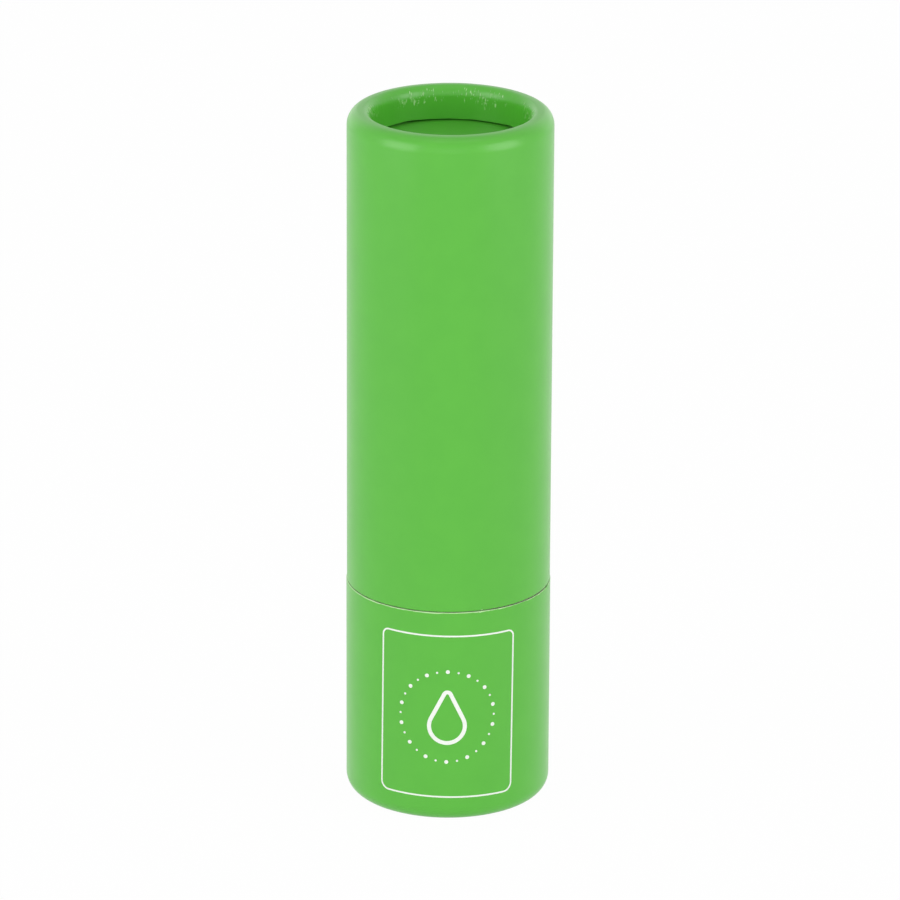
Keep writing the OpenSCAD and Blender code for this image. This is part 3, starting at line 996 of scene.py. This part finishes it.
disc_piece("cap_board_disc", "cap_disc", "board", BOARD_EDGE, 0, 5, flat_board, True)
disc_piece("base_board_disc", "base_disc", "board", BOARD_EDGE, 0, 6, flat_board, True)
disc_piece("cap_printed_facing", "cap_disc_facing", "printed_paper", PRINT_EDGE, EDGE_DROOP, 7, film, True)
disc_piece("base_printed_facing", "base_disc_facing", "printed_paper", PRINT_EDGE, EDGE_DROOP, 8, film, False)

# %% [markdown]
# ## Neck
# With the cap off, a white sleeve shows. Its outer ply is smooth calendered paper, wrapped once and lapped
# behind like the print. The cap's liner rubs it at each closing, so its gloss is a little streaked up and
# down.

# %% Neck paper and sleeve
NECK_COLUMNS = 480
NECK_LAP = 0.02 * MM
NECK_WAVE = 0.004 * MM


def neck_material():
    material, wire, shader = new_material("calendered_paper", IOR=1.48)
    fibre = speckle(wire, 0.35, 4.0)
    rub = speckle(wire, 0.5, 3.0, (1, 1, 14))
    colour = blended(wire, fibre.between(0.3, 0.7), linear(233, 232, 226), linear(241, 240, 235))
    colour = blended(wire, 0.25 * rub.between(0.6, 0.75), colour, linear(214, 213, 204))
    rough = 0.42 + 0.16 * rub.between(0.35, 0.7)
    feed(shader, Base_Color=colour, Roughness=rough, Normal=bumped(wire, fibre, 0.002))
    return material


def sleeve(name, node, inner_r):
    """The neck's outer ply: a closed outline with a softened upper edge, a lap behind and slow waves."""
    a = column_angles(NECK_COLUMNS)
    edge = 0.03 * MM
    outer = neck_r - NECK_LAP
    outline = joined(
        line((inner_r, neck_foot), (outer, neck_foot), even(1)),
        line((outer, neck_foot), (outer, sleeve_top - edge), even(24)),
        arc((outer - edge, sleeve_top - edge), edge, edge, 0, 90, 3),
        line((outer - edge, sleeve_top), (inner_r, sleeve_top), even(2)),
    )
    on_face = outline[:, :1] > outer - edge / 2
    push = on_face * (NECK_LAP * lap_step(a, 0.006) - NECK_WAVE * (1 + waves(a, (3, 5, 9, 16), 31)))
    piece = turned_piece(name, outline[:, :1] + push, outline[:, 1:] + 0 * a)
    place(piece, node, "neck_paper", neck_material())


sleeve("neck_sleeve_ply", "neck_ply", neck_board_r)

# %% [markdown]
# ## Moulded plastic
# Barrel, screw and elevator are injection moulded in natural white plastic. Such a moulding has no grain:
# what makes it look real is a soft edge everywhere, a very slight orange peel, and a gloss that isn't quite
# even.

# %% Moulding material
def moulding_material():
    material, wire, shader = new_material("moulded_plastic", IOR=1.49)
    flow = speckle(wire, 3.0, 2.0)
    peel = speckle(wire, 0.25, 2.0)
    colour = blended(wire, flow.between(0.3, 0.7), linear(238, 239, 235), linear(244, 244, 240))
    feed(shader, Base_Color=colour, Roughness=0.34 + 0.1 * flow, Normal=bumped(wire, peel, 0.003))
    return material


moulding = moulding_material()

# %% [markdown]
# The barrel is one looped outline: floor, outer wall, the rim that covers the sleeve's edge, and the bore.
# Its bore comes inwards at four ribs, which keep the elevator from turning. A rib made as a box would have to
# be joined to the wall, so here the bore's radius is a function of the angle and each rib grows out of the
# wall.

# %% Barrel
SLIDE_FIT = 0.1 * MM
BARREL_T = 0.9 * MM
FLOOR_T = 1 * MM
FLOOR_HOLE_R = 2.45 * MM
LIP_SOFT = 0.2 * MM
RIM_EDGE = 0.05 * MM
RIB_FADE = 0.1 * MM
RIB_SOFT = 0.07 * MM
KEY_H = 0.3 * MM
KEY_W = 0.8 * MM
KEY_COUNT = 4
KEY_END = 2.8 * MM
BARREL_COLUMNS = 720
SAME = 1e-7

bore_r = balm_r + SLIDE_FIT
wall_r = bore_r + BARREL_T
lip_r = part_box("barrel")[1].x
key_top = neck_top - KEY_END
floor_top = floor_at + FLOOR_T


def key_pulse(a, r, half_width, soft):
    """1 within half_width of each of the ribs' middles round a circle of radius r, and 0 elsewhere."""
    pitch = 2 * np.pi / KEY_COUNT
    off = np.abs((a + pitch / 2) % pitch - pitch / 2) * r
    return np.clip((half_width - off) / soft + 0.5, 0, 1)


def barrel_outline():
    """The barrel's looped outline, from the hole in its floor out, up, over the rim and down the bore."""
    soft = LIP_SOFT
    return joined(
        line((FLOOR_HOLE_R, floor_at), (wall_r - soft, floor_at), even(6)),
        arc((wall_r - soft, floor_at + soft), soft, soft, 270, 360, 4),
        line((wall_r, floor_at + soft), (wall_r, sleeve_top), even(12)),
        line((wall_r, sleeve_top), (lip_r - RIM_EDGE, sleeve_top), even(2)),
        arc((lip_r - RIM_EDGE, sleeve_top + RIM_EDGE), RIM_EDGE, RIM_EDGE, 270, 360, 2),
        arc((lip_r - soft, neck_top - soft), soft, soft, 0, 90, 6),
        line((lip_r - soft, neck_top), (bore_r + soft, neck_top), even(4)),
        arc((bore_r + soft, neck_top - soft), soft, soft, 90, 180, 6),
        line((bore_r, neck_top - soft), (bore_r, key_top + RIB_FADE), even(4)),
        line((bore_r, key_top + RIB_FADE), (bore_r, key_top - RIB_FADE), even(2)),
        line((bore_r, key_top - RIB_FADE), (bore_r, floor_top), even(14)),
        line((bore_r, floor_top), (FLOOR_HOLE_R, floor_top), even(8)),
        line((FLOOR_HOLE_R, floor_top), (FLOOR_HOLE_R, floor_at), even(2)[:-1]),
    )


outline = barrel_outline()
a = column_angles(BARREL_COLUMNS)
in_bore = (np.abs(outline[:, 0] - bore_r) < SAME) & (outline[:, 1] < key_top)
rib = in_bore[:, None] * KEY_H * key_pulse(a, bore_r, KEY_W / 2, RIB_SOFT)
barrel = turned_piece("moulded_barrel", outline[:, :1] - rib, outline[:, 1:] + 0 * a)
place(barrel, "barrel", "moulding", moulding)

# %% [markdown]
# ## Balm
# Wax is a soft ivory, lets a little light in under its surface, and carries a fine frost and a few pinholes.
# The light inside comes from the shader's subsurface sockets, and the frost and pinholes are noise in the
# bump.

# %% Balm material
def wax_material():
    material, wire, shader = new_material("ivory_wax", IOR=1.44, Subsurface_Weight=0.15)
    shader.inputs["Subsurface Radius"].default_value = (1.0, 0.8, 0.5)
    shader.inputs["Subsurface Scale"].default_value = 1.2 * MM
    cloud = speckle(wire, 2.5, 3.0)
    frost = speckle(wire, 0.2, 3.0)
    pinhole = speckle(wire, 0.6, 1.0).between(0.76, 0.8)
    colour = blended(wire, cloud.between(0.3, 0.7), linear(244, 233, 200), linear(247, 237, 208))
    colour = blended(wire, 0.35 * pinhole, colour, linear(214, 196, 150))
    rough = 0.36 + 0.22 * cloud.between(0.35, 0.7) + 0.1 * frost
    feed(shader, Base_Color=colour, Roughness=rough, Normal=bumped(wire, frost - 1.5 * pinhole, 0.006))
    return material


# %% [markdown]
# The balm is cast warm in the barrel, so it has the barrel's bore as its outside, with a groove where each
# rib was. Its top sets in a low dome with a faint sink in the middle, where the last wax shrank, and its foot
# is hollow round the spindle. All of that is one outline that starts and ends on the axis.

# %% Balm shape
BALM_COLUMNS = 720
GROOVE_SOFT = 0.1 * MM
DOME_H = 1.4 * MM
DOME_SOFT = 1.2 * MM
SINK = 0.25 * MM
CUP_T = 0.6 * MM
BOSS_R = 3.6 * MM
LEAD = 5 * MM
HOLLOW_FIT = 0.25 * MM
HOLLOW_OVER = 0.4 * MM
CREST_R = 2.3 * MM
KEY_FIT = 0.15 * MM

elevator_r, boss_at, cup_top = reach("elevator")
tip_top = reach("drive_screw")[2]
boss_top = boss_at + LEAD
roof = tip_top + HOLLOW_OVER
cup_r = elevator_r - CUP_T


def balm_outline():
    """From the hollow's roof, down round the spindle, out over the cup, up the side and over the dome."""
    hollow_r = CREST_R + HOLLOW_FIT
    dome_r = balm_r - DOME_SOFT
    dome_rise = DOME_H - DOME_SOFT / 2
    x = np.linspace(0.98, 0.02, 22)
    sink = SINK * np.exp(-((x / 0.4) ** 2))
    dome = np.column_stack([dome_r * x, balm_top - dome_rise * x**2 - sink])
    return joined(
        line((0.1 * MM, roof), (hollow_r, roof), even(2)),
        line((hollow_r, roof), (hollow_r, boss_top), even(6)),
        line((hollow_r, boss_top), (BOSS_R, boss_top), even(1)),
        line((BOSS_R, boss_top), (BOSS_R, balm_foot), even(1)),
        line((BOSS_R, balm_foot), (cup_r, balm_foot), even(3)),
        line((cup_r, balm_foot), (cup_r, cup_top), even(2)),
        line((cup_r, cup_top), (balm_r, cup_top), even(1)),
        line((balm_r, cup_top), (balm_r, key_top - RIB_FADE), even(20)),
        line((balm_r, key_top - RIB_FADE), (balm_r, key_top + KEY_FIT), even(5)),
        line((balm_r, key_top + KEY_FIT), (balm_r, balm_top - DOME_H), even(4)),
        arc((dome_r, balm_top - DOME_H), DOME_SOFT, DOME_SOFT / 2, 0, 60, 8),
        dome,
    )


outline = balm_outline()
a = column_angles(BALM_COLUMNS)
on_side = (np.abs(outline[:, 0] - balm_r) < SAME) & (outline[:, 1] < key_top + KEY_FIT / 2)
groove_depth = KEY_H + KEY_FIT - SLIDE_FIT
groove = on_side[:, None] * groove_depth * key_pulse(a, balm_r, KEY_W / 2 + KEY_FIT, GROOVE_SOFT)
poles = (roof, balm_top - SINK)
balm = turned_piece("cast_balm", outline[:, :1] - groove, outline[:, 1:] + 0 * a, poles=poles, looped=False)
place(balm, "balm", "balm", wax_material())

# %% [markdown]
# ## Pieces that stay as the frame has them
# The screw, the elevator and the neck's board keep their own meshes, whose shapes are right already. They
# only need a finish, so each node's material slots get the same procedural materials as the pieces round
# them.

# %% Materials on the frame's own nodes
for node, material in (("drive_screw", moulding), ("elevator", moulding), ("neck_board", wound_board)):
    slots = bpy.data.objects[node].material_slots
    for slot in slots:
        slot.material = material
    print(node, "has", len(slots), "material slot")
